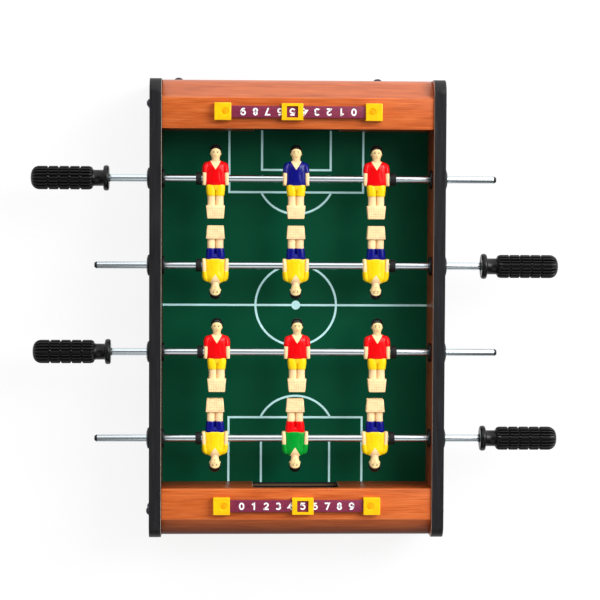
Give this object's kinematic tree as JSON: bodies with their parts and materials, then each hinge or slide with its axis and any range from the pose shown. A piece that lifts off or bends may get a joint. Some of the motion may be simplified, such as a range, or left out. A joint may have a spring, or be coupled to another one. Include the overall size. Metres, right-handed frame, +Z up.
{
  "type": "foosball table",
  "caption": "Small tabletop foosball game: a shallow black and wood box with a green field, sliding and spinning rods of toy players, and score counters.",
  "frame": {"origin": "middle of the rest plane, under the centre of the playfield", "axes": "+Z up from the rest plane, +Y from goal to goal, +X along the rods; rod1 is the rod nearest +Y"},
  "size_m": [0.3949, 0.3488, 0.0742],
  "materials": {
    "black_laminate": "satin black printed laminate on fibreboard, brown wood print on the inner face",
    "wood_laminate": "glossy reddish-brown wood-print laminate on fibreboard",
    "green_field": "semi-gloss green printed field with white lines",
    "chrome_tube": "bright plated steel tube",
    "black_grip": "semi-gloss moulded grip, fluted, with ring grooves",
    "black_nylon": "satin moulded nylon",
    "black_rubber": "matte rubber",
    "yellow_plastic": "glossy moulded plastic",
    "purple_plastic": "semi-gloss moulded plastic with white digits",
    "red_jersey": "semi-gloss painted moulded plastic",
    "yellow_jersey": "semi-gloss painted moulded plastic",
    "navy_jersey": "semi-gloss painted moulded plastic",
    "green_jersey": "semi-gloss painted moulded plastic",
    "black_screw": "black-plated steel"
  },
  "bodies": {
    "frame": {"side_panel_left": "black_laminate", "side_panel_right": "black_laminate", "playfield": "green_field", "goal_wall_far": "wood_laminate", "end_board_far": "wood_laminate", "counter_bar_far": "purple_plastic", "counter_block_far_zero": "yellow_plastic", "counter_block_far_nine": "yellow_plastic", "end_screw_far_1": "black_screw", "end_screw_far_2": "black_screw", "goal_wall_near": "wood_laminate", "end_board_near": "wood_laminate", "counter_bar_near": "purple_plastic", "counter_block_near_zero": "yellow_plastic", "counter_block_near_nine": "yellow_plastic", "end_screw_near_1": "black_screw", "end_screw_near_2": "black_screw", "bushing_rod1_left": "black_nylon", "bushing_rod1_right": "black_nylon", "bushing_rod2_left": "black_nylon", "bushing_rod2_right": "black_nylon", "bushing_rod3_left": "black_nylon", "bushing_rod3_right": "black_nylon", "bushing_rod4_left": "black_nylon", "bushing_rod4_right": "black_nylon"},
    "counter_slider_far": {"counter_slider_far": "yellow_plastic"},
    "counter_slider_near": {"counter_slider_near": "yellow_plastic"},
    "rod1_stops": {"rod1_stop_left": "black_rubber", "rod1_stop_right": "black_rubber"},
    "rod1_rod": {"rod1_tube": "chrome_tube", "rod1_handle": "black_grip", "rod1_end_plug": "black_nylon", "rod1_man_left": "red_jersey", "rod1_man_middle": "navy_jersey", "rod1_man_right": "red_jersey"},
    "rod2_stops": {"rod2_stop_left": "black_rubber", "rod2_stop_right": "black_rubber"},
    "rod2_rod": {"rod2_tube": "chrome_tube", "rod2_handle": "black_grip", "rod2_end_plug": "black_nylon", "rod2_man_left": "yellow_jersey", "rod2_man_middle": "yellow_jersey", "rod2_man_right": "yellow_jersey"},
    "rod3_stops": {"rod3_stop_left": "black_rubber", "rod3_stop_right": "black_rubber"},
    "rod3_rod": {"rod3_tube": "chrome_tube", "rod3_handle": "black_grip", "rod3_end_plug": "black_nylon", "rod3_man_left": "red_jersey", "rod3_man_middle": "red_jersey", "rod3_man_right": "red_jersey"},
    "rod4_stops": {"rod4_stop_left": "black_rubber", "rod4_stop_right": "black_rubber"},
    "rod4_rod": {"rod4_tube": "chrome_tube", "rod4_handle": "black_grip", "rod4_end_plug": "black_nylon", "rod4_man_left": "yellow_jersey", "rod4_man_middle": "green_jersey", "rod4_man_right": "yellow_jersey"}
  },
  "joints": [
    {"name": "score_slide_far", "type": "slide", "parent": "frame", "child": "counter_slider_far", "axis": [-1, 0, 0], "range_m": [-0.0455, 0.0364]},
    {"name": "score_slide_near", "type": "slide", "parent": "frame", "child": "counter_slider_near", "axis": [1, 0, 0], "range_m": [-0.0455, 0.0364]},
    {"name": "rod1_push", "type": "slide", "parent": "frame", "child": "rod1_stops", "axis": [1, 0, 0], "range_m": [-0.023, 0.025]},
    {"name": "rod1_spin", "type": "hinge", "parent": "rod1_stops", "child": "rod1_rod", "pos_m": [0, 0.0972, 0.0555], "axis": [1, 0, 0], "continuous": true},
    {"name": "rod2_push", "type": "slide", "parent": "frame", "child": "rod2_stops", "axis": [1, 0, 0], "range_m": [-0.023, 0.025]},
    {"name": "rod2_spin", "type": "hinge", "parent": "rod2_stops", "child": "rod2_rod", "pos_m": [0, 0.0324, 0.0555], "axis": [1, 0, 0], "continuous": true},
    {"name": "rod3_push", "type": "slide", "parent": "frame", "child": "rod3_stops", "axis": [1, 0, 0], "range_m": [-0.0243, 0.0237]},
    {"name": "rod3_spin", "type": "hinge", "parent": "rod3_stops", "child": "rod3_rod", "pos_m": [0, -0.0324, 0.0555], "axis": [1, 0, 0], "continuous": true},
    {"name": "rod4_push", "type": "slide", "parent": "frame", "child": "rod4_stops", "axis": [1, 0, 0], "range_m": [-0.0231, 0.0249]},
    {"name": "rod4_spin", "type": "hinge", "parent": "rod4_stops", "child": "rod4_rod", "pos_m": [0, -0.0972, 0.0555], "axis": [1, 0, 0], "continuous": true}
  ]
}
